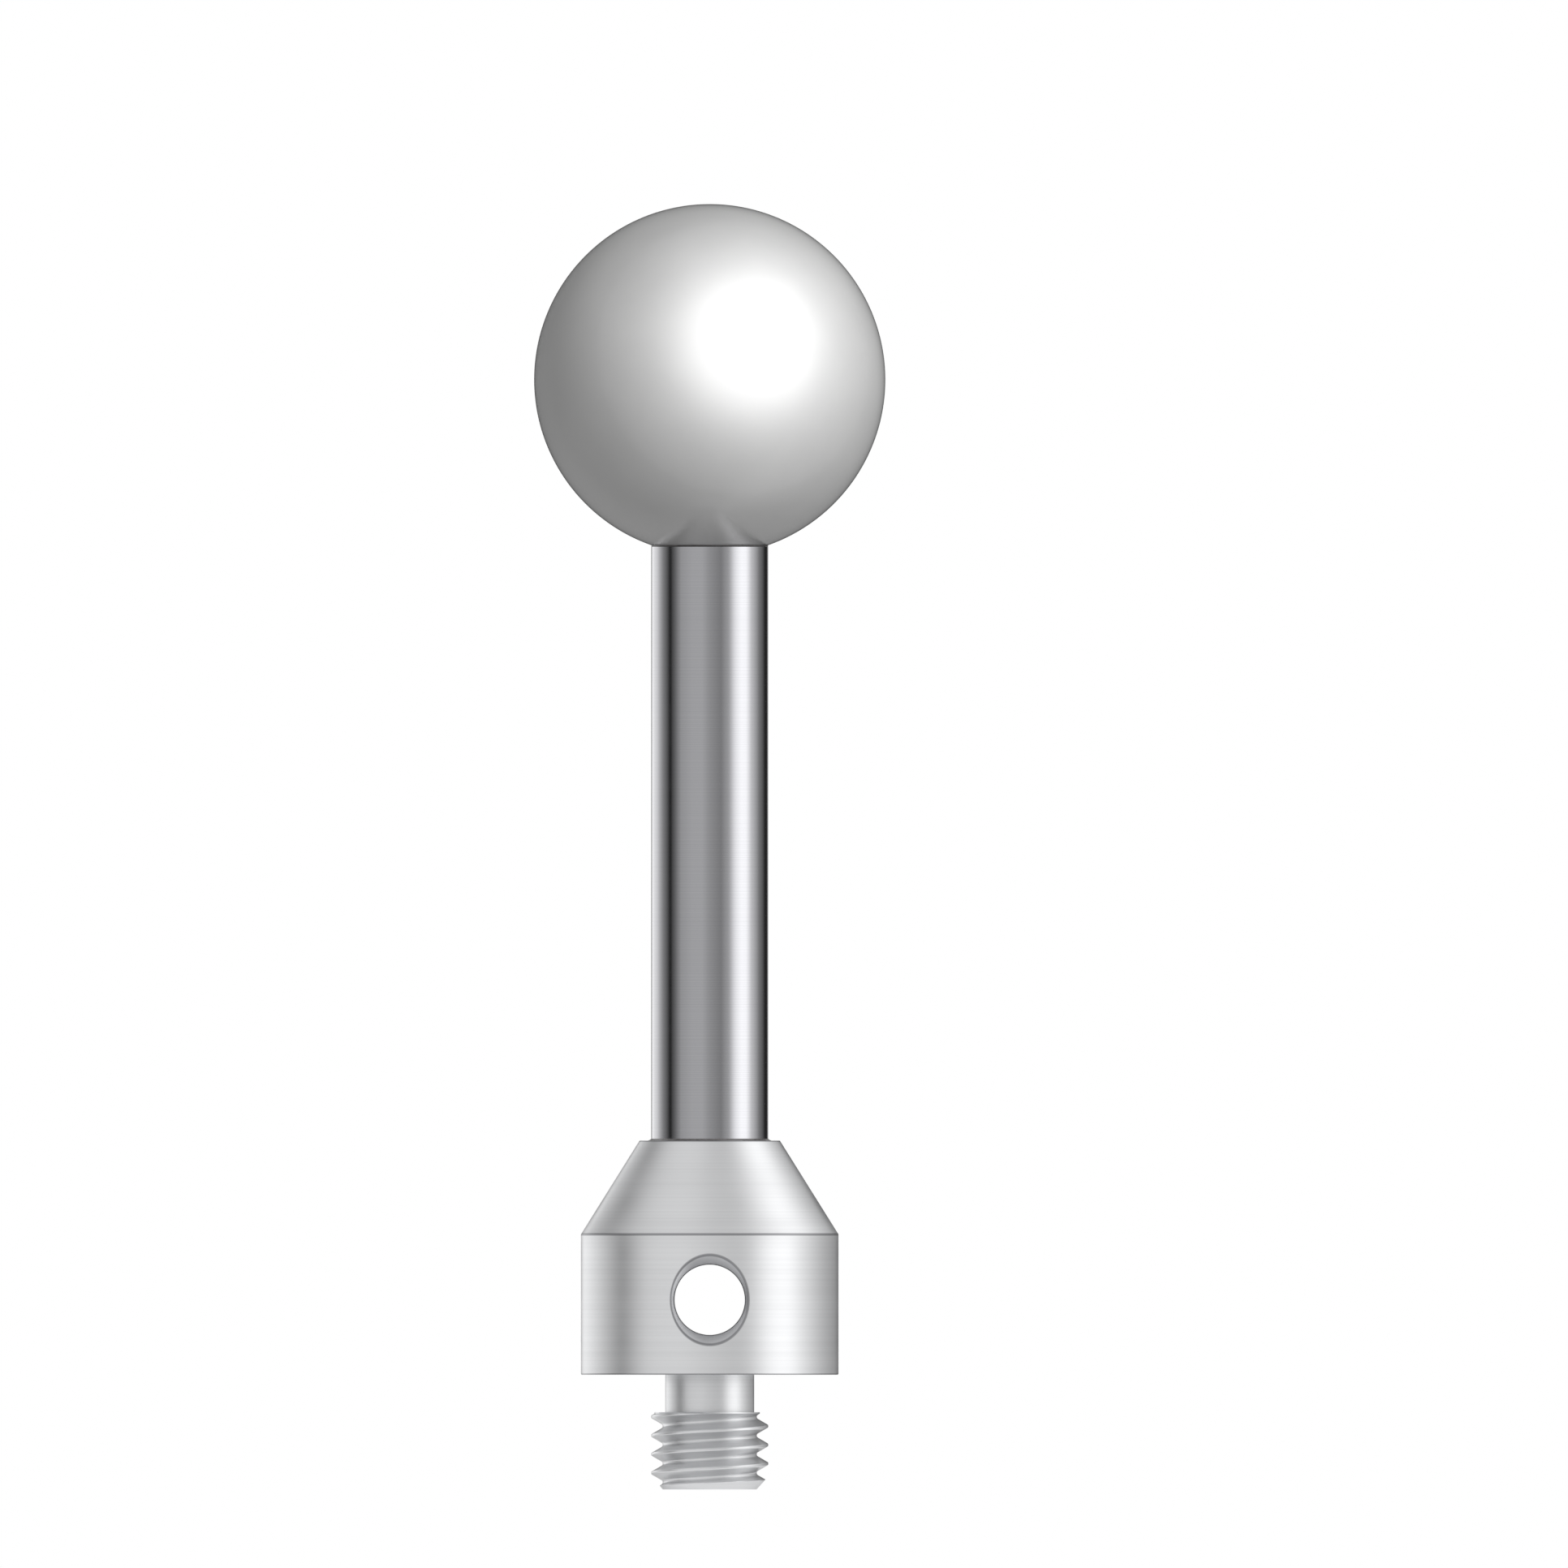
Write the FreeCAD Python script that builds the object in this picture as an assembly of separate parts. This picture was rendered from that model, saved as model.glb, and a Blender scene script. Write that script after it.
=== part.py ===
import FreeCAD, Part
import math
import os

# Stylus for a coordinate measuring machine: a large ceramic ball bonded to the spigot of a ground carbide
# stem, which is bonded into a turned steel base with a tool hole across it and a thread stub under it.
# Millimetres. The origin is the centre of the seat face, +Z runs up to the ball, and Y is along the tool hole.

# Overall
working_length = 50.0  # from the seat face to the top of the ball
bond_film = 0.05  # thickness of the cured adhesive, at the ball and in the base
edge_break = 0.05  # width of the small chamfers on turned edges

# Ball
ball_diameter = 15.0

# Stem
stem_diameter = 5.0
stem_end_chamfer = 0.3  # at the end in the base
spigot_diameter = 3.0  # ground down to enter the ball
spigot_length = 6.0
spigot_chamfer = 0.3

# Base, above the seat face
drum_diameter = 11.0
drum_height = 6.0
cone_height = 4.0
bore_depth = 4.5
bore_mouth_chamfer = 0.1
top_land_width = 0.3  # flat ring outside the chamfer of the bore's mouth
bead_height = 0.08  # adhesive that stands up round the stem

# Tool hole across the drum
tool_hole_diameter = 3.0
tool_hole_height = 3.2  # of its axis above the seat face
countersink_width = 0.42  # at 45 degrees, on the drum's widest line

# Base, below the seat face
neck_diameter = 3.8
neck_length = 1.6
seat_relief_diameter = 5.6  # the seat face is cut back round the neck, so that its outer ring closes first
seat_relief_depth = 0.2  # with a 45 degree wall
thread_diameter = 5.0  # over the crests
thread_length = 2.75  # of full thread
thread_end_diameter = 4.0
thread_end_chamfer = 0.55  # measured along the axis

# Radii and heights that follow
up = FreeCAD.Vector(0, 0, 1)
ball_radius = ball_diameter / 2
stem_radius = stem_diameter / 2
spigot_radius = spigot_diameter / 2
drum_radius = drum_diameter / 2
neck_radius = neck_diameter / 2
seat_relief_radius = seat_relief_diameter / 2
thread_radius = thread_diameter / 2
tool_hole_radius = tool_hole_diameter / 2

ball_centre = working_length - ball_radius
ball_flat = ball_centre - math.sqrt(ball_radius**2 - stem_radius**2)  # a flat as wide as the stem
shoulder = ball_flat - bond_film  # the stem's step below the ball
spigot_top = shoulder + spigot_length
ball_hole_radius = spigot_radius + bond_film
ball_hole_end = spigot_top + bond_film

base_top = drum_height + cone_height
bore_radius = stem_radius + bond_film
bore_floor = base_top - bore_depth
bore_mouth_radius = bore_radius + bore_mouth_chamfer
top_radius = bore_mouth_radius + top_land_width + edge_break
stem_bottom = bore_floor + bond_film

thread_top = -neck_length
thread_end = thread_top - thread_length - thread_end_chamfer


def turned(outline):
    """A full turn about Z of a closed outline of straight runs, given as (radius, height) points."""
    corners = [FreeCAD.Vector(radius, 0, height) for radius, height in outline]
    face = Part.Face(Part.makePolygon(corners + corners[:1]))
    return face.revolve(FreeCAD.Vector(), up, 360)


def make_ball():
    """A sphere with a ground flat and a blind hole that take the end of the stem."""
    flat_edge = FreeCAD.Vector(stem_radius, 0, ball_flat)
    equator = FreeCAD.Vector(ball_radius, 0, ball_centre)
    crown = FreeCAD.Vector(0, 0, working_length)
    hole_end_centre = FreeCAD.Vector(0, 0, ball_hole_end)
    hole_end_edge = FreeCAD.Vector(ball_hole_radius, 0, ball_hole_end)
    hole_mouth = FreeCAD.Vector(ball_hole_radius, 0, ball_flat)
    outline = Part.Wire([
        Part.Arc(flat_edge, equator, crown).toShape(),
        Part.makeLine(crown, hole_end_centre),
        Part.makeLine(hole_end_centre, hole_end_edge),
        Part.makeLine(hole_end_edge, hole_mouth),
        Part.makeLine(hole_mouth, flat_edge),
    ])
    return Part.Face(outline).revolve(FreeCAD.Vector(), up, 360)


def make_stem():
    """A ground rod with a spigot for the ball and a chamfered end in the base."""
    return turned([
        (0, stem_bottom),
        (stem_radius - stem_end_chamfer, stem_bottom),
        (stem_radius, stem_bottom + stem_end_chamfer),
        (stem_radius, shoulder),
        (spigot_radius, shoulder),
        (spigot_radius, spigot_top - spigot_chamfer),
        (spigot_radius - spigot_chamfer, spigot_top),
        (0, spigot_top),
    ])


def make_ball_adhesive():
    """The film that fills the ball's hole round the spigot and the joint between shoulder and flat."""
    return turned([
        (spigot_radius, shoulder),
        (stem_radius, shoulder),
        (stem_radius, ball_flat),
        (ball_hole_radius, ball_flat),
        (ball_hole_radius, ball_hole_end),
        (0, ball_hole_end),
        (0, spigot_top),
        (spigot_radius - spigot_chamfer, spigot_top),
        (spigot_radius, spigot_top - spigot_chamfer),
    ])


def make_stem_adhesive():
    """The film that fills the base's bore round the stem, with a small bead at the mouth."""
    return turned([
        (0, bore_floor),
        (bore_radius, bore_floor),
        (bore_radius, base_top - bore_mouth_chamfer),
        (bore_mouth_radius, base_top),
        (stem_radius, base_top + bead_height),
        (stem_radius, stem_bottom + stem_end_chamfer),
        (stem_radius - stem_end_chamfer, stem_bottom),
        (0, stem_bottom),
    ])


def turned_base():
    """The base as it leaves the lathe: thread stub, neck, drum and cone, with the bore for the stem."""
    break_on_cone = edge_break * (drum_radius - top_radius) / cone_height
    return turned([
        (0, thread_end),
        (thread_end_diameter / 2, thread_end),
        (thread_radius, thread_end + thread_end_chamfer),
        (thread_radius, thread_top - edge_break),
        (thread_radius - edge_break, thread_top),
        (neck_radius, thread_top),
        (neck_radius, seat_relief_depth),
        (seat_relief_radius - seat_relief_depth, seat_relief_depth),
        (seat_relief_radius, 0),
        (drum_radius - edge_break, 0),
        (drum_radius, edge_break),
        (drum_radius, drum_height),
        (top_radius + break_on_cone, base_top - edge_break),
        (top_radius - edge_break, base_top),
        (bore_mouth_radius, base_top),
        (bore_radius, base_top - bore_mouth_chamfer),
        (bore_radius, bore_floor),
        (0, bore_floor),
    ])


def tool_hole():
    """The drill and the two 45 degree countersinks, as one solid to cut away."""
    clear = tool_hole_radius  # how far the cutters reach past the drum
    centre = FreeCAD.Vector(0, 0, tool_hole_height)
    reach = drum_radius + clear
    drill = Part.makeCylinder(
        tool_hole_radius, 2 * reach, centre - FreeCAD.Vector(0, reach, 0), FreeCAD.Vector(0, 1, 0)
    )
    sinks = []
    for side in (-1, 1):
        outwards = FreeCAD.Vector(0, side, 0)
        start = centre + outwards * (drum_radius - countersink_width)
        depth = countersink_width + clear
        sinks.append(
            Part.makeCone(tool_hole_radius, tool_hole_radius + depth, depth, start, outwards)
        )
    return drill.fuse(sinks)


def make_base():
    return turned_base().cut(tool_hole())


def checked(name, shape):
    """The one valid solid of a shape, or a stop that names the piece."""
    if len(shape.Solids) != 1 or not shape.isValid():
        raise ValueError(f"{name} is not one valid solid")
    return shape.Solids[0]


pieces = {
    "tip_ball": make_ball(),
    "stem": make_stem(),
    "ball_adhesive": make_ball_adhesive(),
    "base": make_base(),
    "stem_adhesive": make_stem_adhesive(),
}

os.makedirs("parts", exist_ok=True)
for name, shape in pieces.items():
    solid = checked(name, shape)
    solid.exportStep(f"parts/{name}.step")
    box = solid.BoundBox
    print(f"{name}: volume {solid.Volume:.2f} mm3, Z {box.ZMin:.3f} to {box.ZMax:.3f} mm")
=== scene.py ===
import math

import bmesh
import bpy
import numpy as np
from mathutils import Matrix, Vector


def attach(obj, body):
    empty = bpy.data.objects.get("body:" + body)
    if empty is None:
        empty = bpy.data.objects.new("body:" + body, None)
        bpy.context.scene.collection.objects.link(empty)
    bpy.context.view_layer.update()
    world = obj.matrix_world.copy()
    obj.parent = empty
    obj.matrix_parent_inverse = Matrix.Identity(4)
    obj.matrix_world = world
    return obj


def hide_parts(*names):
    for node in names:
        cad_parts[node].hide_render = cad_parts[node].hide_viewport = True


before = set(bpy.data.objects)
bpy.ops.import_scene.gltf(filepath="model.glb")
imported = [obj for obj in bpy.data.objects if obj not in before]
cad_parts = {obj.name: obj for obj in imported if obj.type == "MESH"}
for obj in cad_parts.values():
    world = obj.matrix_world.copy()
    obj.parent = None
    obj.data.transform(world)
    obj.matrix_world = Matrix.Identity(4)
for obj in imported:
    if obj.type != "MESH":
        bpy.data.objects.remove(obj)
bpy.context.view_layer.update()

# Stylus for a coordinate measuring machine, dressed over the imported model. Values are millimetres and
# degrees, and a mesh gets its metres as it is made. The seat face is at z = 0 and the tool hole runs
# along y.
mm = 0.001

mesh = {
    "columns": 360,  # round the axis, shared by all patches of a piece so that rims meet point for point
    "roundingSteps": 5,  # points on a rounded edge
    "supportRow": 0.03,  # a row this far from a rounded edge keeps the shading of the straight run even
    "weld": 0.0002,  # points closer than this become one
    "sharpFrom": 33.0,  # edges that turn by more are left crisp
    "stageStep": 6,  # the floor and the highlights take every sixth column
}


# Shapes

columnAngles = np.linspace(0.0, 2.0 * np.pi, mesh["columns"] + 1)


def roundedOutline(corners):
    # A polyline of (radius, height, rounding). A corner with a rounding gives way to the arc that touches
    # both of its runs: with b the angle between the runs, the arc starts rounding / tan(b / 2) from the
    # corner and its centre lies rounding / sin(b / 2) from it on the bisector.
    corners = np.array(corners, dtype=float)
    rows = [corners[:1, :2]]
    for before, corner, after in zip(corners, corners[1:], corners[2:]):
        rounding = corner[2]
        if rounding == 0.0:
            rows.append(corner[None, :2])
            continue
        back = before[:2] - corner[:2]
        ahead = after[:2] - corner[:2]
        back /= np.linalg.norm(back)
        ahead /= np.linalg.norm(ahead)
        b = math.acos(np.clip(back @ ahead, -1.0, 1.0))
        reach = rounding / math.tan(b / 2)
        bisector = (back + ahead) / np.linalg.norm(back + ahead)
        centre = corner[:2] + bisector * rounding / math.sin(b / 2)
        first = corner[:2] + back * reach - centre
        last = corner[:2] + ahead * reach - centre
        share = np.linspace(0.0, 1.0, mesh["roundingSteps"])[:, None]
        swing = math.pi - b
        arc = (np.sin((1 - share) * swing) * first + np.sin(share * swing) * last) / math.sin(swing)
        support = mesh["supportRow"]
        rows.append((centre + first + back * support)[None])
        rows.append(centre + arc)
        rows.append((centre + last + ahead * support)[None])
    rows.append(corners[-1:, :2])
    return np.concatenate(rows)


def aroundAxis(radius, height, angles=columnAngles):
    # A point for each angle: x = r cos a, y = r sin a, z = height.
    return np.stack([radius * np.cos(angles), radius * np.sin(angles), height + 0 * angles], axis=-1)


def turnedPatch(outline, angles=columnAngles):
    # Rows follow the outline and columns go round the axis.
    return aroundAxis(outline[:, :1], outline[:, 1:], angles)


def ruledPatch(rings):
    # Straight lines from each ring of points to the next.
    return np.stack(rings)


def bentPatch(first, corner, last):
    # A rounded edge between two rings: (1 - t)^2 first + 2 t (1 - t) corner + t^2 last, for t from 0 to 1.
    t = np.linspace(0.0, 1.0, mesh["roundingSteps"])[:, None, None]
    return (1 - t) ** 2 * first + 2 * t * (1 - t) * corner + t**2 * last


def quadsOf(patch, first):
    # The cells of a grid of points, as the numbers of their corners.
    rows, columns = patch.shape[:2]
    index = np.arange(rows * columns).reshape(rows, columns) + first
    cells = [index[:-1, :-1], index[:-1, 1:], index[1:, 1:], index[1:, :-1]]
    return np.stack(cells, axis=-1).reshape(-1, 4)


def meshFrom(name, patches):
    # Every patch is a grid of points.
    points, quads, count = [], [], 0
    for patch in patches:
        quads.append(quadsOf(patch, count))
        points.append(patch.reshape(-1, 3))
        count += len(points[-1])
    data = bpy.data.meshes.new(name)
    data.from_pydata(np.concatenate(points) * mm, [], np.concatenate(quads))
    return data


def placed(name, data):
    thing = bpy.data.objects.new(name, data)
    bpy.context.scene.collection.objects.link(thing)
    return thing


def pieceFromPatches(name, patches, material, slot, *nodes):
    # Rims that meet are welded, and faces point outwards.
    data = meshFrom(name, patches)
    work = bmesh.new()
    work.from_mesh(data)
    bmesh.ops.remove_doubles(work, verts=work.verts, dist=mesh["weld"] * mm)
    bmesh.ops.recalc_face_normals(work, faces=work.faces)
    loose = sum(not edge.is_manifold for edge in work.edges)
    work.to_mesh(data)
    work.free()
    data.shade_smooth()
    data.set_sharp_from_angle(angle=math.radians(mesh["sharpFrom"]))
    data.materials.append(material)
    piece = placed(name, data)
    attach(piece, "root")
    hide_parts(*nodes)
    print(f"{name}: {len(data.vertices)} points, {len(data.polygons)} faces, {loose} open edges")
    return piece


# Materials

# Each look is made beside its piece. In its values a noise has its scale per mm, polish is a range of
# roughness, and depth is that of the marks.
noiseSpan = (0.3, 0.7)  # nearly all of a noise lies in it
mixSockets = {
    # the numbers of a mix's factor and two inputs, and of its result
    "VECTOR": ((0, 4, 5), 1),
    "RGBA": ((0, 6, 7), 2),
}


def addNode(tree, kind, **values):
    # Lower case names are the node's own settings, the others are the names of its sockets.
    node = tree.nodes.new("ShaderNode" + kind)
    for name, value in values.items():
        if name[0].islower():
            setattr(node, name, value)
        else:
            node.inputs[name.replace("_", " ")].default_value = value
    return node


def feed(tree, sockets, *sources):
    # A source is another node's socket, which is linked, or a plain value.
    for socket, source in zip(sockets, sources):
        if isinstance(source, bpy.types.NodeSocket):
            tree.links.new(source, socket)
        else:
            socket.default_value = source


def mathOf(tree, operation, *operands):
    node = addNode(tree, "Math", operation=operation)
    feed(tree, node.inputs, *operands)
    return node.outputs["Value"]


def vectorMathOf(tree, operation, *operands):
    node = addNode(tree, "VectorMath", operation=operation)
    feed(tree, node.inputs, *operands)
    return node.outputs["Value" if operation in ("LENGTH", "DISTANCE", "DOT_PRODUCT") else "Vector"]


def vectorOf(tree, x, y):
    node = addNode(tree, "CombineXYZ")
    feed(tree, node.inputs, x, y)
    return node.outputs["Vector"]


def mixOf(tree, kind, fac, first, second, **values):
    inputs, result = mixSockets[kind]
    node = addNode(tree, "Mix", data_type=kind, **values)
    feed(tree, (node.inputs[number] for number in inputs), fac, first, second)
    return node.outputs[result]


def mixedShaders(tree, fac, first, second):
    node = addNode(tree, "MixShader")
    feed(tree, node.inputs, fac, first, second)
    return node.outputs["Shader"]


def seenBy(tree, *kinds):
    # 1 for a ray of one of the kinds, 0 for every other.
    path = addNode(tree, "LightPath")
    seen = 0.0
    for kind in kinds:
        seen = mathOf(tree, "MAXIMUM", seen, path.outputs[f"Is {kind} Ray"])
    return seen


def emptyMaterial(name):
    material = bpy.data.materials.new(name)
    material.use_nodes = True
    tree = material.node_tree
    tree.nodes.clear()
    return material, tree, addNode(tree, "OutputMaterial").inputs["Surface"]


def placeIn(tree):
    # Object coordinates in millimetres.
    coordinates = addNode(tree, "TexCoord")
    millimetres = addNode(tree, "VectorMath", operation="SCALE", Scale=1.0 / mm)
    tree.links.new(coordinates.outputs["Object"], millimetres.inputs["Vector"])
    return millimetres.outputs["Vector"]


def newMaterial(name, **values):
    material, tree, surface = emptyMaterial(name)
    shader = addNode(tree, "BsdfPrincipled", **values)
    tree.links.new(shader.outputs["BSDF"], surface)
    return material, tree, shader, placeIn(tree)


def noiseOf(tree, vector, **values):
    noise = addNode(tree, "TexNoise", **values)
    tree.links.new(vector, noise.inputs["Vector"])
    return noise.outputs["Fac"]


def between(tree, fac, low, high, least=noiseSpan[0], most=noiseSpan[1]):
    # Spreads what lies from least to most over low to high.
    spread = addNode(tree, "MapRange", From_Min=least, From_Max=most, To_Min=low, To_Max=high)
    tree.links.new(fac, spread.inputs["Value"])
    return spread.outputs["Result"]


def tint(tree, fac, *colours):
    # The first colour at the low end of a noise and the second at its high end.
    ramp = addNode(tree, "ValToRGB")
    for stop, position, colour in zip(ramp.color_ramp.elements, noiseSpan, colours):
        stop.position = position
        stop.color = (*colour, 1)
    tree.links.new(fac, ramp.inputs["Fac"])
    return ramp.outputs["Color"]


def toolMarks(tree, place, across=("X", "Y"), way="Z"):
    # Marks that a tool leaves going round an axis: a place becomes (distance from the axis, way along it),
    # so that whatever is drawn there is the same all the way round.
    parts = addNode(tree, "SeparateXYZ")
    tree.links.new(place, parts.inputs["Vector"])
    flat = vectorOf(tree, *(parts.outputs[axis] for axis in across))
    distance = vectorMathOf(tree, "LENGTH", flat)
    return vectorOf(tree, distance, parts.outputs[way]), distance


def darkened(tree, fac, colour, filterColour):
    # Where fac is 1 the colour is multiplied by the filter's.
    return mixOf(tree, "RGBA", fac, colour, (*filterColour, 1), blend_type="MULTIPLY")


def finishWith(tree, shader, colour, polishNoise, polish):
    # The roughness follows a noise, spread over the range that polish gives.
    tree.links.new(colour, shader.inputs["Base Color"])
    tree.links.new(between(tree, polishNoise, *polish), shader.inputs["Roughness"])


def bumpFrom(tree, shader, height, depth):
    bump = addNode(tree, "Bump", Strength=1.0, Distance=depth * mm)
    tree.links.new(height, bump.inputs["Height"])
    tree.links.new(bump.outputs["Normal"], shader.inputs["Normal"])


# Sizes that several pieces share

joint = {
    "film": 0.05,  # thickness of the adhesive
    "stemRadius": 2.5,
    "boreFloor": 5.5,
    "baseTop": 10.0,
    "mouthChamfer": 0.1,
}
stemRadius = joint["stemRadius"]
boreFloor = joint["boreFloor"]
baseTop = joint["baseTop"]
boreRadius = stemRadius + joint["film"]
boreMouth = baseTop - joint["mouthChamfer"]
boreMouthRadius = boreRadius + joint["mouthChamfer"]


# Ball

ball = {
    "radius": 7.5,
    "centre": 42.5,
    "holeRadius": 1.55,
    "holeEnd": 41.429,
    "rows": 160,  # from the flat to the crown
}
ceramic = {
    "pale": (0.82, 0.82, 0.817),
    "dark": (0.78, 0.78, 0.778),
    "clouds": {"Scale": 0.35, "Detail": 4.0},
    "grain": {"Scale": 22.0, "Detail": 2.0},
    "polish": (0.19, 0.25),
    "shader": {
        "IOR": 2.0,
        # a thin clear skin, which lets less through near the rim, where the way through it is longer
        "Coat_Weight": 1.0,
        "Coat_IOR": 1.0,
        "Coat_Roughness": 0.22,
        "Coat_Tint": (0.91, 0.91, 0.91, 1.0),
    },
}
ballFlat = ball["centre"] - math.sqrt(ball["radius"] ** 2 - stemRadius**2)


def ceramicMaterial():
    # Polished white ceramic: wide faint clouds in its colour, and a fine grain in how well it polished.
    material, tree, shader, place = newMaterial("polishedCeramic", **ceramic["shader"])
    clouds = noiseOf(tree, place, **ceramic["clouds"])
    grain = noiseOf(tree, place, **ceramic["grain"])
    colour = tint(tree, clouds, ceramic["dark"], ceramic["pale"])
    finishWith(tree, shader, colour, grain, ceramic["polish"])
    return material


def ballOutline():
    # The blind hole, the flat, then the sphere: r = R cos e, height = centre + R sin e, with e rising to
    # 90 degrees.
    radius, centre = ball["radius"], ball["centre"]
    holeRadius, holeEnd = ball["holeRadius"], ball["holeEnd"]
    lowest = math.atan2(ballFlat - centre, stemRadius)
    rise = np.linspace(lowest, math.pi / 2, ball["rows"])
    sphere = np.stack([radius * np.cos(rise), centre + radius * np.sin(rise)], axis=1)
    sphere[-1, 0] = 0.0
    return np.concatenate([[[0.0, holeEnd], [holeRadius, holeEnd], [holeRadius, ballFlat]], sphere])


ceramicBall = pieceFromPatches(
    "ceramicBall", [turnedPatch(ballOutline())], ceramicMaterial(), "ball_ceramic", "tip_ball"
)


# Stem

stem = {
    "bottom": 5.55,
    "endChamfer": 0.3,
    "shoulderEdge": 0.02,  # rounding
    "spigotRadius": 1.5,
    "spigotLength": 6.0,
    "spigotChamfer": 0.3,
}
carbide = {
    "pale": (0.42, 0.42, 0.435),
    "dark": (0.37, 0.37, 0.385),
    "grinding": {"Scale": 26.0, "Detail": 3.0},
    "smears": {"Scale": 1.3, "Detail": 2.0},
    "polish": (0.13, 0.17),
    "depth": 0.0003,
    "shader": {"Metallic": 1.0, "Anisotropic": 0.75, "Anisotropic_Rotation": 0.25},
}
shoulder = ballFlat - joint["film"]
spigotTop = shoulder + stem["spigotLength"]


def carbideMaterial():
    # Ground carbide: fine rings round the rod, with a slow change in how deep the wheel cut.
    material, tree, shader, place = newMaterial("groundCarbide", **carbide["shader"])
    rings = toolMarks(tree, place)[0]
    marks = noiseOf(tree, rings, **carbide["grinding"])
    smears = noiseOf(tree, rings, **carbide["smears"])
    colour = tint(tree, marks, carbide["dark"], carbide["pale"])
    finishWith(tree, shader, colour, smears, carbide["polish"])
    bumpFrom(tree, shader, marks, carbide["depth"])
    return material


stemOutline = roundedOutline([
    (0, stem["bottom"], 0),
    (stemRadius - stem["endChamfer"], stem["bottom"], 0),
    (stemRadius, stem["bottom"] + stem["endChamfer"], 0),
    (stemRadius, shoulder, stem["shoulderEdge"]),
    (stem["spigotRadius"], shoulder, 0),
    (stem["spigotRadius"], spigotTop - stem["spigotChamfer"], 0),
    (stem["spigotRadius"] - stem["spigotChamfer"], spigotTop, 0),
    (0, spigotTop, 0),
])
carbideStem = pieceFromPatches(
    "carbideStem", [turnedPatch(stemOutline)], carbideMaterial(), "stem_carbide", "stem"
)


# Adhesive

bead = {
    "sag": 0.012,  # how far its surface draws in
    "height": 0.08,
    "rows": 7,
}
adhesive = {
    "pale": (0.16, 0.15, 0.15),
    "dark": (0.08, 0.075, 0.075),
    "clouds": {"Scale": 6.0, "Detail": 3.0},
    "polish": (0.30, 0.45),
    "shader": {"IOR": 1.5},
}


def adhesiveMaterial():
    material, tree, shader, place = newMaterial("curedAdhesive", **adhesive["shader"])
    clouds = noiseOf(tree, place, **adhesive["clouds"])
    colour = tint(tree, clouds, adhesive["dark"], adhesive["pale"])
    finishWith(tree, shader, colour, clouds, adhesive["polish"])
    return material


def saggingRun(start, end):
    # Straight from start to end, drawn in towards the left of the way by sag * 4 t (1 - t).
    start, end = np.array(start, dtype=float), np.array(end, dtype=float)
    t = np.linspace(0.0, 1.0, bead["rows"])[:, None]
    way = (end - start) / np.linalg.norm(end - start)
    return start + (end - start) * t + np.array([-way[1], way[0]]) * bead["sag"] * 4 * t * (1 - t)


adhesiveLook = adhesiveMaterial()
ballJoint = np.concatenate([
    [[stem["spigotRadius"], shoulder]],
    saggingRun((stemRadius, shoulder), (stemRadius, ballFlat)),
    [
        [ball["holeRadius"], ballFlat],
        [ball["holeRadius"], ball["holeEnd"]],
        [0.0, ball["holeEnd"]],
    ],
])
ballJointInside = np.array([
    [0.0, spigotTop],
    [stem["spigotRadius"] - stem["spigotChamfer"], spigotTop],
    [stem["spigotRadius"], spigotTop - stem["spigotChamfer"]],
    [stem["spigotRadius"], shoulder],
])
ballJointAdhesive = pieceFromPatches(
    "ballJointAdhesive",
    [turnedPatch(ballJoint), turnedPatch(ballJointInside)],
    adhesiveLook, "cured_adhesive", "ball_adhesive",
)

stemJoint = np.concatenate([
    [[0.0, boreFloor], [boreRadius, boreFloor], [boreRadius, boreMouth]],
    saggingRun((boreMouthRadius, baseTop), (stemRadius, baseTop + bead["height"])),
    [
        [stemRadius, stem["bottom"] + stem["endChamfer"]],
        [stemRadius - stem["endChamfer"], stem["bottom"]],
        [0.0, stem["bottom"]],
    ],
])
stemJointAdhesive = pieceFromPatches(
    "stemJointAdhesive", [turnedPatch(stemJoint)], adhesiveLook, "cured_adhesive", "stem_adhesive"
)


# Base

base = {
    "drumRadius": 5.5,
    "drumHeight": 6.0,
    "topRadius": 3.0,
    "edge": 0.05,  # rounding of the turned edges
    "neckRadius": 1.9,
    "neckFillet": 0.12,
    "reliefRadius": 2.8,
    "reliefDepth": 0.2,
    "reliefEdge": 0.02,
}
thread = {
    "radius": 2.5,
    "pitch": 0.8,
    "top": -1.6,
    "fullTo": -4.35,  # the end chamfer starts here
    "end": -4.9,
    "endRadius": 2.0,
    "topBreak": 0.06,
    "flankAngle": 30.0,  # of each flank to the radius
    "flankSteps": 9,
    "flankClear": 0.01,  # way that the flank's points keep from the crest's edge
    "crestWidth": 0.1,
    # the crest's rounded edge, as (way past where it would be sharp, way below the crest)
    "crestEdge": [(-0.012, 0.021), (0.004, 0.005), (0.02, 0.0)],
    "rootRounding": 0.1155,
    "rootSteps": 6,
    "frontRoot": -1.996,  # height of a root on the side that faces -y
    "turns": (-9, 4),  # pitches that are laid out below and above that root
    "margin": 0.1,  # way that is kept past a patch's rims
    "digits": 6,  # ways that agree to so many are one
}
toolHole = {
    "radius": 1.5,
    "height": 3.2,
    "sinkWidth": 0.42,
    "edge": 0.035,  # how far its rounded edges reach to each side
    "halfWindow": 30,  # columns on each side of the hole's axis that bend round it
    "rows": 36,  # up the drum beside the hole, from low to high
    "rings": 16,  # from the hole's rim to the edge of the window
    "crowding": 1.4,  # above 1 the rings draw together towards the hole
    "low": 0.3,
    "high": 5.8,
}
sinkFoot = base["drumRadius"] - toolHole["sinkWidth"]  # way along the hole at which a countersink starts
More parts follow.
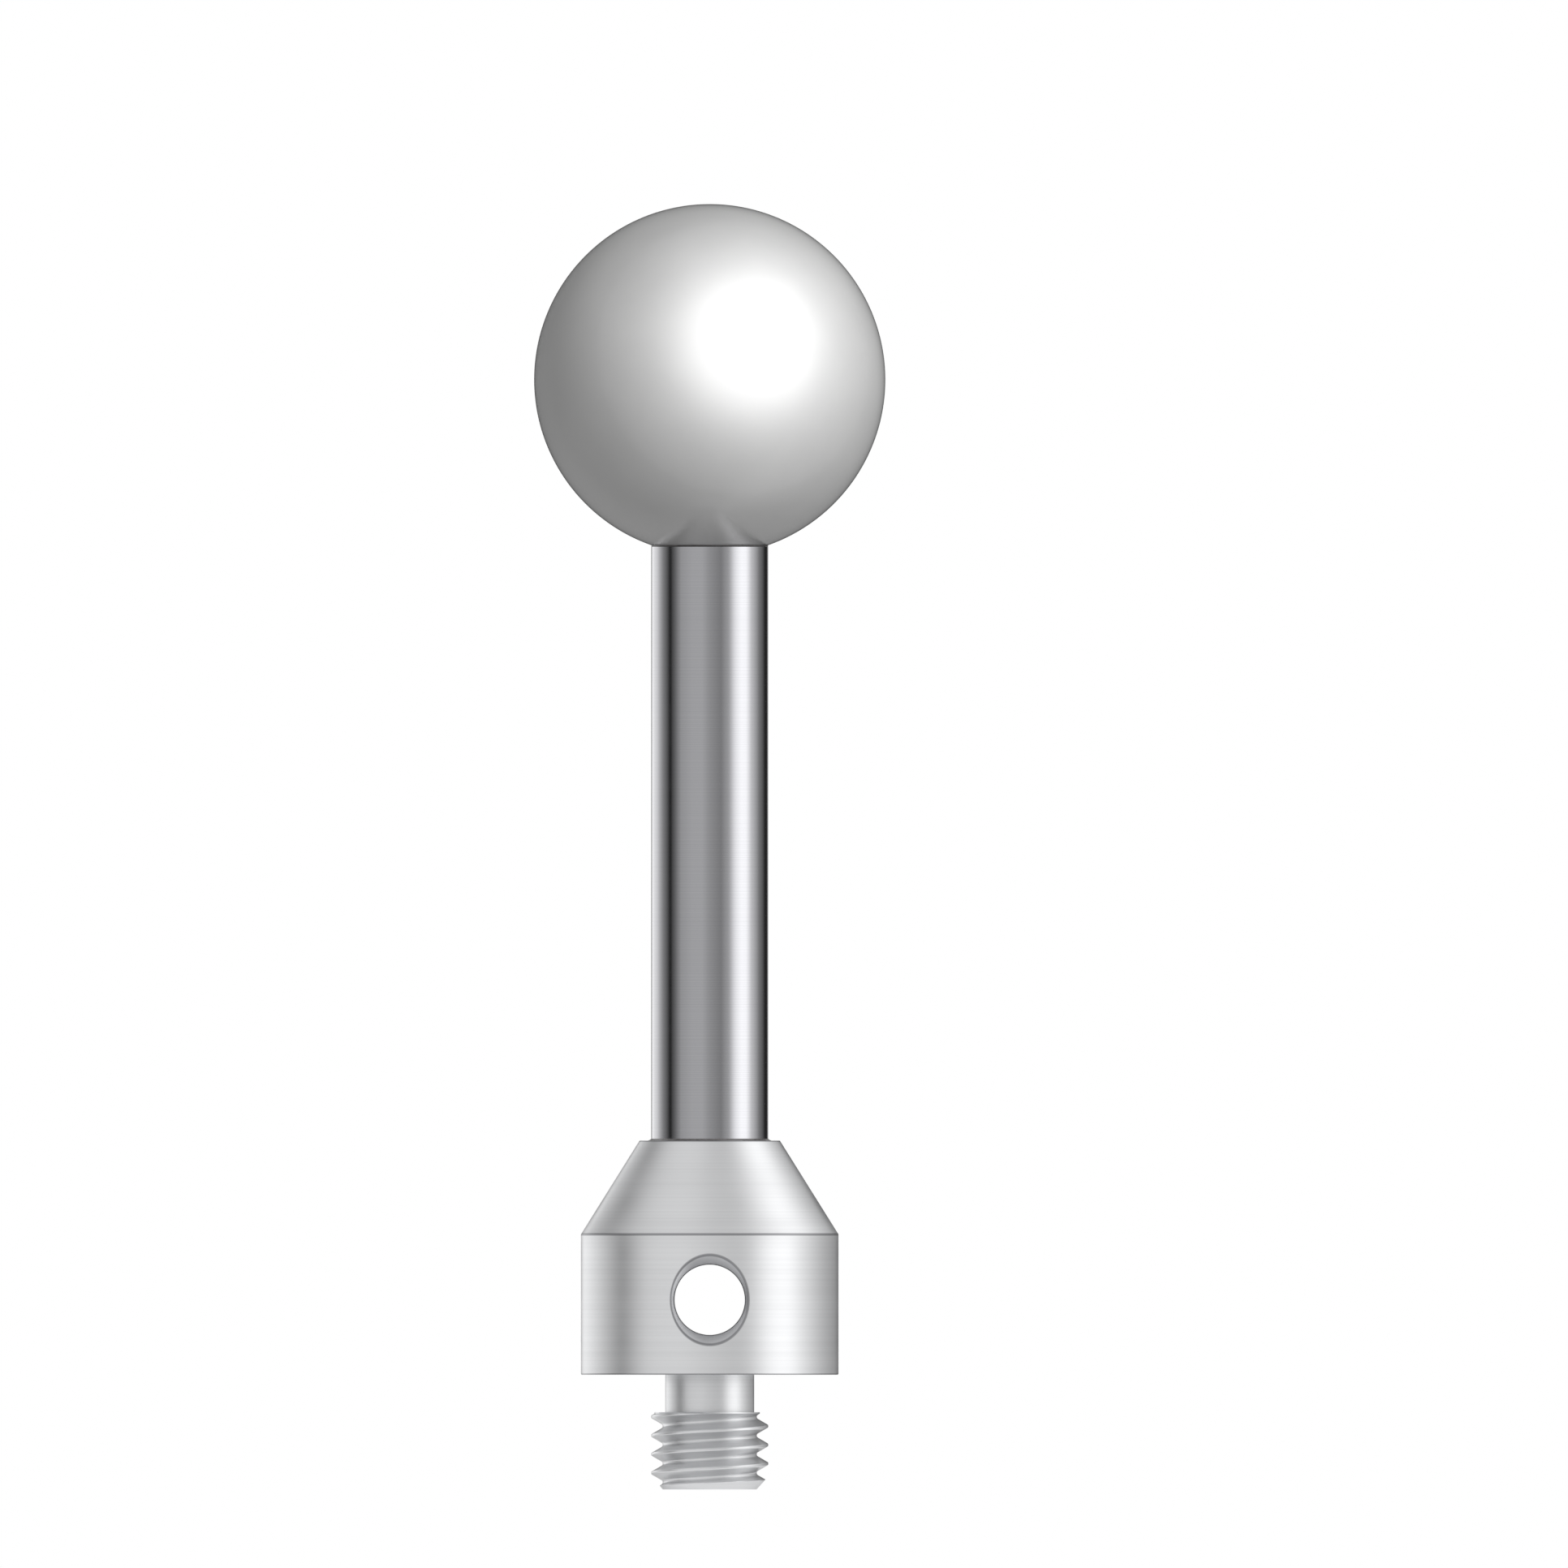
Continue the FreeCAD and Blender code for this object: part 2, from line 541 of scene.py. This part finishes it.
steel = {
    "pale": (0.79, 0.795, 0.805),
    "dark": (0.74, 0.745, 0.755),
    "turning": {"Scale": 11.0, "Detail": 3.0},
    "smears": {"Scale": 0.9, "Detail": 2.0},
    "polish": (0.28, 0.35),
    "depth": 0.0008,
    "shader": {
        "Metallic": 1.0,
        "Anisotropic": 0.5,
        "Anisotropic_Rotation": 0.25,
        "Specular_Tint": (0.7, 0.7, 0.7, 1.0),  # what the reflection is multiplied by near its rim
    },
    "holeReach": 0.5,  # marks go round the tool hole's axis up to this far outside the hole,
    "holeDepth": 0.015,  # and from this far inside the drum's side
    "sinkFrom": (0.01, 0.04),  # a countersink's look comes in between these ways outside the hole,
    "sinkTint": (0.88, 0.88, 0.89),  # and is duller
    "paintedEdgeShadeReach": (0.03, 0.08),  # painted shade: the edges are drawn darker, which fades out between these ways from them
    "paintedEdgeShadeTint": (0.42, 0.42, 0.43),
}


def steelMaterial():
    # Turned stainless steel: feed marks round the axis, and round the tool hole inside it.
    material, tree, shader, place = newMaterial("turnedSteel", **steel["shader"])
    drum, hole = base["drumRadius"], toolHole["radius"]
    rings, distance = toolMarks(tree, place)
    fromHole = vectorMathOf(tree, "SUBTRACT", place, (0.0, 0.0, toolHole["height"]))
    holeRings, holeDistance = toolMarks(tree, fromHole, ("X", "Z"), "Y")
    near = mathOf(tree, "LESS_THAN", holeDistance, hole + steel["holeReach"])
    inside = mathOf(tree, "LESS_THAN", distance, drum - steel["holeDepth"])
    inHole = mathOf(tree, "MULTIPLY", near, inside)
    along = mixOf(tree, "VECTOR", inHole, rings, holeRings)
    marks = noiseOf(tree, along, **steel["turning"])
    smears = noiseOf(tree, along, **steel["smears"])
    colour = tint(tree, marks, steel["dark"], steel["pale"])
    sunk = between(tree, holeDistance, 0.0, 1.0, *(hole + way for way in steel["sinkFrom"]))
    colour = darkened(tree, mathOf(tree, "MULTIPLY", inHole, sunk), colour, steel["sinkTint"])
    # Front and back are alike, so the way along the hole is taken without its sign. All over a countersink
    # it is greater than the distance from the hole's axis by the same amount.
    inward = vectorMathOf(tree, "ABSOLUTE", holeRings)
    onSink = vectorOf(tree, vectorMathOf(tree, "DOT_PRODUCT", inward, (-1.0, 1.0, 0.0)), distance)
    # Painted shade: thin dark lines along the turned edges, the thread's chamfer and the tool hole's rims.
    edges = (
        (rings, drum, 0.0),
        (rings, drum, base["drumHeight"]),
        (rings, base["topRadius"], baseTop),
        (rings, thread["radius"], thread["fullTo"]),
        (inward, hole, sinkFoot),
        (onSink, sinkFoot - hole, drum),
    )
    for spot, x, y in edges:
        away = vectorMathOf(tree, "DISTANCE", spot, (x, y, 0.0))
        paintedEdgeShade = between(tree, away, 1.0, 0.0, *steel["paintedEdgeShadeReach"])
        colour = darkened(tree, paintedEdgeShade, colour, steel["paintedEdgeShadeTint"])
    finishWith(tree, shader, colour, smears, steel["polish"])
    bumpFrom(tree, shader, marks, steel["depth"])
    return material


def threadOutline():
    # One pitch of the ISO form, from root to root, as way along the axis and radius: a rounded root, a
    # straight flank, a flat crest with rounded edges, and the same again mirrored.
    flankAngle = math.radians(thread["flankAngle"])
    flankRise = 1 / math.tan(flankAngle)
    rounding = thread["rootRounding"]
    reach = rounding * math.cos(flankAngle)
    half = thread["pitch"] / 2
    crest = half - thread["crestWidth"] / 2
    flankFoot = thread["radius"] - (crest - reach) * flankRise
    root = np.linspace(0.0, reach, thread["rootSteps"])
    rootRadius = flankFoot + rounding * math.sin(flankAngle) - np.sqrt(rounding**2 - root**2)
    edgeWay, edgeDrop = np.array(thread["crestEdge"]).T
    flank = np.linspace(reach, crest, thread["flankSteps"])[1:-1]
    flank = flank[flank < crest + edgeWay[0] - thread["flankClear"]]
    flankRadius = flankFoot + (flank - reach) * flankRise
    way = np.concatenate([root, flank, crest + edgeWay, [half]])
    radius = np.concatenate([rootRadius, flankRadius, thread["radius"] - edgeDrop, [thread["radius"]]])
    return np.concatenate([way, 2 * half - way[-2::-1]]), np.concatenate([radius, radius[-2::-1]])


def threadRadius(way):
    outlineWay, outlineRadius = threadOutline()
    return np.interp(np.mod(way, thread["pitch"]), outlineWay, outlineRadius)


def threadLift():
    # How far the helix has risen at each column: the height of the root on the side that faces -y, plus
    # pitch (a + pi / 2) / 2 pi.
    return thread["frontRoot"] + thread["pitch"] * (columnAngles + np.pi / 2) / (2 * np.pi)


def threadPatch(low, high):
    # The outline carried along the helix: height = way + pitch a / 2 pi, radius from the outline, and from
    # the cone of the end chamfer where that is less. Points past low or high slide along their column to
    # that height, where the outline gives their radius, so both rims are level and those points weld.
    outlineWay = threadOutline()[0]
    turns = np.arange(*thread["turns"])[:, None] * thread["pitch"]
    way = np.unique(np.round((turns + outlineWay).ravel(), thread["digits"]))
    lift = threadLift()
    keep = (way > low - lift.max() - thread["margin"]) & (way < high - lift.min() + thread["margin"])
    height = np.clip(way[keep][:, None] + lift, low, high)
    slope = (thread["radius"] - thread["endRadius"]) / (thread["fullTo"] - thread["end"])
    chamfer = thread["endRadius"] + (height - thread["end"]) * slope
    return aroundAxis(np.minimum(threadRadius(height - lift), chamfer), height)


def threadTopPatch():
    # The small bevel at the top of the thread, and the level ring from it to the neck.
    fullTop = thread["top"] - thread["topBreak"]
    full = threadRadius(fullTop - threadLift())
    broken = np.minimum(full, thread["radius"] - thread["topBreak"])
    rings = ((full, fullTop), (broken, thread["top"]), (base["neckRadius"], thread["top"]))
    return ruledPatch([aroundAxis(radius, height) for radius, height in rings])


def windowRows():
    # Even heights up the drum's side.
    return np.linspace(toolHole["low"], toolHole["high"], toolHole["rows"] + 1)


def windowBorder():
    # Once round the part of the drum that bends round the hole, as (angle from the hole's axis, height),
    # through the same points as the columns and rows beside it.
    half = toolHole["halfWindow"]
    columns = columnAngles[: 2 * half + 1] - columnAngles[half]
    rows = windowRows()
    return np.concatenate([
        np.stack([columns[:-1], rows[0] + 0 * columns[:-1]], axis=1),
        np.stack([columns[-1] + 0 * rows[:-1], rows[:-1]], axis=1),
        np.stack([columns[:0:-1], rows[-1] + 0 * columns[1:]], axis=1),
        np.stack([columns[0] + 0 * rows, rows[::-1]], axis=1),
    ])


def toolHolePatches():
    # Each place round the hole has an angle p in the plane across its axis. The countersink is the cone
    # y = y0 + (q - q0), q being the distance from the hole's axis, and it meets the drum, where
    # x^2 + y^2 = R^2, at q^2 (1 + cos^2 p) + 2 q k + k^2 - R^2 = 0, with k = y0 - q0. The window runs from
    # that rim to its border.
    drum, hole, edge = base["drumRadius"], toolHole["radius"], toolHole["edge"]
    border = windowBorder()
    p = np.arctan2(border[:, 1] - toolHole["height"], drum * border[:, 0])
    cosine, sine = np.cos(p), np.sin(p)
    k = sinkFoot - hole
    rim = (-k + np.sqrt(k**2 - (1 + cosine**2) * (k**2 - drum**2))) / (1 + cosine**2)

    def ring(q, y):
        return np.stack([q * cosine, y + 0 * q * cosine, toolHole["height"] + q * sine], axis=-1)

    def onDrum(q):
        return ring(q, np.sqrt(drum**2 - (q * cosine) ** 2))

    def onSink(q):
        return ring(q, sinkFoot + q - hole)

    outerRing = onDrum(rim + edge)
    start = np.stack([np.arcsin(outerRing[:, 0] / drum), outerRing[:, 2]], axis=-1)
    share = np.linspace(0.0, 1.0, toolHole["rings"])[:, None, None] ** toolHole["crowding"]
    spread = (1 - share) * start + share * border
    turn, height = spread[..., 0], spread[..., 1]
    window = np.stack([drum * np.sin(turn), drum * np.cos(turn), height], axis=-1)
    holeEdge = ring(hole, sinkFoot - edge)
    patches = []
    for side in (1, -1):
        flip = np.array([1, side, 1])
        patches.append(window * flip)
        patches.append(bentPatch(outerRing, onDrum(rim), onSink(rim - edge)) * flip)
        patches.append(ruledPatch([onSink(rim - edge), onSink(hole + edge)]) * flip)
        patches.append(bentPatch(onSink(hole + edge), onSink(hole), holeEdge) * flip)
    patches.append(ruledPatch([holeEdge, ring(hole, 0.0), holeEdge * np.array([1, -1, 1])]))
    return patches


def drumSidePatches():
    # The two plain sides of the drum, between the windows in front and behind.
    half = toolHole["halfWindow"]
    quarter = mesh["columns"] // 4
    rows = windowRows()
    outline = np.stack([base["drumRadius"] + 0 * rows, rows], axis=1)
    right = columnAngles[: quarter - half + 1]
    left = columnAngles[quarter + half: 3 * quarter - half + 1]
    rest = columnAngles[3 * quarter + half:]
    return [turnedPatch(outline, angles) for angles in (right, left, rest)]


belowDrum = roundedOutline([
    (base["neckRadius"], thread["top"], 0),
    (base["neckRadius"], base["reliefDepth"], base["neckFillet"]),
    (base["reliefRadius"] - base["reliefDepth"], base["reliefDepth"], 0),
    (base["reliefRadius"], 0, base["reliefEdge"]),
    (base["drumRadius"], 0, base["edge"]),
    (base["drumRadius"], toolHole["low"], 0),
])
aboveDrum = roundedOutline([
    (base["drumRadius"], toolHole["high"], 0),
    (base["drumRadius"], base["drumHeight"], base["edge"]),
    (base["topRadius"], baseTop, base["edge"]),
    (boreMouthRadius, baseTop, 0),
    (boreRadius, boreMouth, 0),
    (boreRadius, boreFloor, 0),
    (0, boreFloor, 0),
])
endFace = np.array([[0.0, thread["end"]], [thread["endRadius"], thread["end"]]])
steelBase = pieceFromPatches(
    "steelBase",
    [
        turnedPatch(endFace),
        threadPatch(thread["end"], thread["fullTo"]),
        threadPatch(thread["fullTo"], thread["top"] - thread["topBreak"]),
        threadTopPatch(),
        turnedPatch(belowDrum),
        *drumSidePatches(),
        *toolHolePatches(),
        turnedPatch(aboveDrum),
    ],
    steelMaterial(), "base_steel", "base",
)


# Floor, light and camera

def directionTo(azimuth, elevation):
    # Azimuth 0 is the camera's side and positive to its right: (sin a cos e, -cos a cos e, sin e).
    turn, rise = math.radians(azimuth), math.radians(elevation)
    return np.array([math.sin(turn) * math.cos(rise), -math.cos(turn) * math.cos(rise), math.sin(rise)])


def pointTowards(thing, place, target):
    thing.location = place
    thing.rotation_euler = (Vector(target) - Vector(place)).to_track_quat("-Z", "Y").to_euler()


floor = {
    "radius": 600.0,
    "middle": 1.0,  # radius of the opening under the thread's end
    "fadeFrom": 28.0,  # from this far out to fadeTo it gives way to the white behind it, so it has no edge
    "fadeTo": 68.0,
    "lift": 0.65,  # how much white the camera and reflections see mixed into it
    "shader": {"Base_Color": (0.86, 0.86, 0.86, 1.0), "Roughness": 0.9, "Specular_IOR_Level": 0.0},
}


def makeFloor():
    # A level disc at the height of the thread's end.
    outline = np.array([[floor["middle"], thread["end"]], [floor["radius"], thread["end"]]])
    data = meshFrom("floor", [turnedPatch(outline, columnAngles[:: mesh["stageStep"]])])
    material, tree, surface = emptyMaterial("paleFloor")
    data.materials.append(material)
    ground = placed("floor", data)
    ground.visible_diffuse = False
    fade = addNode(
        tree, "MapRange",
        From_Min=floor["fadeFrom"], From_Max=floor["fadeTo"], interpolation_type="SMOOTHSTEP",
    )
    tree.links.new(vectorMathOf(tree, "LENGTH", placeIn(tree)), fade.inputs["Value"])
    lift = mathOf(tree, "MULTIPLY", seenBy(tree, "Camera", "Glossy"), floor["lift"])
    pale = addNode(tree, "BsdfPrincipled", **floor["shader"])
    white = addNode(tree, "Emission", Strength=1.0)
    clear = addNode(tree, "BsdfTransparent")
    lit = mixedShaders(tree, lift, pale.outputs["BSDF"], white.outputs["Emission"])
    tree.links.new(mixedShaders(tree, fade.outputs["Result"], lit, clear.outputs["BSDF"]), surface)


tent = {
    # A dark tent that only reflections see, with one glowing lining for each of the three finishes.
    "radius": 120.0,
    "gap": 1.0,  # between linings
    "overFloor": 0.05,  # how far each lies above the one before it, and the first above the floor
    "inner": 7.0,  # it lies on the floor from here to its radius, then stands up, and closes to a peak
    "top": 250.0,
    "peak": 330.0,
    "peakRadius": 0.5,
    "columns": 360,  # round the axis
}
# In each glow, low and high are (azimuth, level) stops, with azimuth as in directionTo. The low ones change
# to the high ones over the heights in bend, and peak is the level at the tent's peak.
ceramicGlow = {
    "low": [
        (-180, 0.58), (-160, 0.60), (-146, 0.56), (-134, 0.50), (-120, 0.40), (-70, 0.41), (-20, 0.48),
        (25, 0.48), (60, 0.64), (85, 0.62), (120, 0.44), (134, 0.53), (146, 0.60), (160, 0.62), (180, 0.58),
    ],
    "high": [
        (-180, 0.07), (-120, 0.07), (-70, 0.16), (-30, 0.46), (25, 0.57), (60, 0.92), (85, 1.08),
        (120, 0.85), (146, 0.50), (165, 0.20), (180, 0.07),
    ],
    "bend": (-4.0, 200.0),
    "peak": 0.5,
}
carbideStops = [
    (-180, 0.60), (-172, 0.45), (-165, 0.04), (-154, 1.6), (-128, 1.4), (-105, 0.50), (-84, 0.01),
    (-70, 0.33), (-58, 0.70), (-35, 0.84), (-15, 0.85), (0, 0.64), (22, 0.45), (38, 0.80), (52, 1.9),
    (64, 2.4), (76, 2.35), (90, 1.25), (114, 0.40), (138, 0.04), (153, 0.02), (162, 0.30), (175, 0.60),
    (180, 0.60),
]
carbideGlow = {
    "low": carbideStops,
    "high": carbideStops,
    "bend": (37.0, 41.0),
    "peak": 0.75,
}
steelGlow = {
    "low": [
        (-180, 0.15), (-166, 0.4), (-154, 1.5), (-140, 1.25), (-128, 1.04), (-114, 0.80), (-99, 0.56),
        (-83, 0.26), (-71, 0.50), (-57, 0.76), (-42, 0.80), (-23, 0.82), (0, 0.72), (23, 0.63), (33, 0.68),
        (42, 0.93), (52, 1.25), (63, 1.36), (74, 1.34), (86, 1.0), (99, 0.78), (114, 0.60), (128, 0.50),
        (147, 0.45), (164, 0.2), (180, 0.15),
    ],
    "high": [
        (-180, 0.4), (-165, 0.98), (-156, 0.98), (-142, 0.70), (-131, 0.50), (-119, 0.30), (-104, 0.50),
        (-94, 0.68), (-80, 0.79), (-50, 0.82), (-20, 0.80), (0, 0.70), (36, 0.62), (50, 0.64), (62, 0.82),
        (74, 1.05), (85, 1.3), (96, 1.4), (107, 1.32), (119, 1.0), (131, 0.80), (142, 0.68), (156, 0.55),
        (180, 0.4),
    ],
    "bend": (35.0, 39.0),
    "peak": 0.75,
}
azimuths = np.linspace(-180.0, 180.0, tent["columns"] + 1)


def makeGlow(name, patch, levels, pieces=()):
    # A surface that shines with the level of each of its points, and that only reflections see. Where it
    # is for some pieces alone, it is clear as well, so that it adds to what lies behind.
    data = meshFrom(name, [patch])
    data.attributes.new("level", "FLOAT", "POINT").data.foreach_set("value", levels.ravel())
    material, tree, surface = emptyMaterial(name)
    level = addNode(tree, "Attribute", attribute_name="level")
    glow = addNode(tree, "Emission")
    tree.links.new(level.outputs["Fac"], glow.inputs["Strength"])
    shine = glow.outputs["Emission"]
    if pieces:
        clear = addNode(tree, "BsdfTransparent")
        both = addNode(tree, "AddShader")
        feed(tree, both.inputs, shine, clear.outputs["BSDF"])
        shine = both.outputs["Shader"]
    tree.links.new(shine, surface)
    material.cycles.emission_sampling = "NONE"
    data.materials.append(material)
    thing = placed(name, data)
    thing.visible_camera = False
    thing.visible_diffuse = False
    thing.visible_shadow = False
    thing.visible_transmission = False
    if pieces:
        receivers = bpy.data.collections.new(name + "Receivers")
        for piece in pieces:
            receivers.objects.link(piece)
        thing.light_linking.receiver_collection = receivers


def liningPatch(number, bend):
    # Rows of (radius, height) carried round by azimuth: x = r sin a, y = -r cos a.
    side = tent["radius"] - number * tent["gap"]
    ground = thread["end"] + tent["overFloor"] * (number + 1)
    outline = np.array([
        [tent["inner"], ground], [side, ground], [side, bend[0]], [side, bend[1]],
        [side, tent["top"]], [tent["peakRadius"], tent["peak"] - number * tent["gap"]],
    ])
    radius, height = outline[:, :1], outline[:, 1:]
    a = np.radians(azimuths)
    return np.stack([radius * np.sin(a), -radius * np.cos(a), height + 0 * a], axis=-1)


def makeTent():
    dark = liningPatch(0, steelGlow["bend"])
    makeGlow("tent", dark, 0 * dark[..., 0])
    linings = {
        "ceramicLining": (ceramicGlow, [ceramicBall]),
        "carbideLining": (carbideGlow, [carbideStem, ballJointAdhesive, stemJointAdhesive]),
        "steelLining": (steelGlow, [steelBase]),
    }
    for number, (name, (glow, pieces)) in enumerate(linings.items(), start=1):
        low, high = (np.interp(azimuths, *np.array(glow[part]).T) for part in ("low", "high"))
        levels = np.stack([low, low, low, high, high, glow["peak"] + 0 * azimuths])
        makeGlow(name, liningPatch(number, glow["bend"]), levels, pieces)


highlights = {
    # azimuth, elevation, level in the middle, degrees from it to half that level, sharpness of its edge
    "frontHighlight": (16.3, 14.0, 5.0, 27.0, 5.0),
    "backHighlight": (-150.0, 18.0, 2.2, 13.0, 2.6),
}
highlightShell = {
    "radius": 8.3,  # so close to the ball that its far side doesn't catch them
    "reach": 60.0,  # degrees from the middle
    "rings": 61,
}


def makeHighlight(name, azimuth, elevation, level, width, sharpness):
    # A shell close to the ball, brightest in its middle. With t the angle from its middle and a the turn
    # round it: centre + r (cos t * way + sin t (cos a * side + sin a * above)), at the level
    # level / (1 + (t / width)^sharpness).
    way = directionTo(azimuth, elevation)
    side = np.cross(way, [0.0, 0.0, 1.0])
    side /= np.linalg.norm(side)
    above = np.cross(side, way)
    t = np.linspace(0.0, highlightShell["reach"], highlightShell["rings"])[:, None]
    a = columnAngles[:: mesh["stageStep"], None]
    down = np.radians(t)[..., None]
    outwards = np.cos(down) * way + np.sin(down) * (np.cos(a) * side + np.sin(a) * above)
    patch = highlightShell["radius"] * outwards + np.array([0.0, 0.0, ball["centre"]])
    levels = level / (1 + (t / width) ** sharpness) + 0 * a.T
    makeGlow(name, patch, levels, [ceramicBall])


lamps = {
    # azimuth, elevation, and level of the light that reaches the stylus
    "keyLight": (36.0, 33.0, 0.71),
    "backLight": (178.0, 22.0, 0.51),
}
lampStand = {
    "distance": 500.0,
    "size": 260.0,
    "aim": 25.0,  # height that they point at
}


def makeLamp(name, azimuth, elevation, level):
    # An even level of 1 is pi watts per square metre, so the lamp needs pi^2 * level * distance^2 watts.
    target = np.array([0.0, 0.0, lampStand["aim"] * mm])
    distance = lampStand["distance"] * mm
    data = bpy.data.lights.new(name, "AREA")
    data.shape = "DISK"
    data.size = lampStand["size"] * mm
    data.energy = math.pi**2 * level * distance**2
    lamp = placed(name, data)
    pointTowards(lamp, target + directionTo(azimuth, elevation) * distance, target)
    lamp.visible_glossy = False


surroundings = {
    "white": 1.0,  # what the camera and reflections see past everything
    "evenLight": 0.31,  # on matt surfaces
}


def makeWorld():
    world = bpy.data.worlds.new("studio")
    bpy.context.scene.world = world
    world.use_nodes = True
    tree = world.node_tree
    tree.nodes.clear()
    soft = addNode(tree, "Background", Color=(1, 1, 1, 1), Strength=surroundings["evenLight"])
    white = addNode(tree, "Background", Color=(1, 1, 1, 1), Strength=surroundings["white"])
    seen = seenBy(tree, "Camera", "Glossy", "Transmission")
    mixed = mixedShaders(tree, seen, soft.outputs["Background"], white.outputs["Background"])
    tree.links.new(mixed, addNode(tree, "OutputWorld").inputs["Surface"])


camera = {
    "x": 3.172,  # the picture's middle
    "z": 25.231,
    "distance": 300.0,
    "width": 66.97,  # what the square picture takes in
    "nearest": 10.0,  # it sees nothing nearer than this
    "farthest": 5000.0,  # or farther than this
}


def makeCamera():
    data = bpy.data.cameras.new("camera")
    data.type = "ORTHO"
    data.ortho_scale = camera["width"] * mm
    data.clip_start = camera["nearest"] * mm
    data.clip_end = camera["farthest"] * mm
    view = placed("camera", data)
    x, z = camera["x"] * mm, camera["z"] * mm
    pointTowards(view, (x, -camera["distance"] * mm, z), (x, 0.0, z))
    bpy.context.scene.camera = view


makeFloor()
makeTent()
for name, values in highlights.items():
    makeHighlight(name, *values)
for name, values in lamps.items():
    makeLamp(name, *values)
makeWorld()
makeCamera()
bpy.context.scene.view_settings.view_transform = "Standard"
print("floor, light and camera placed")
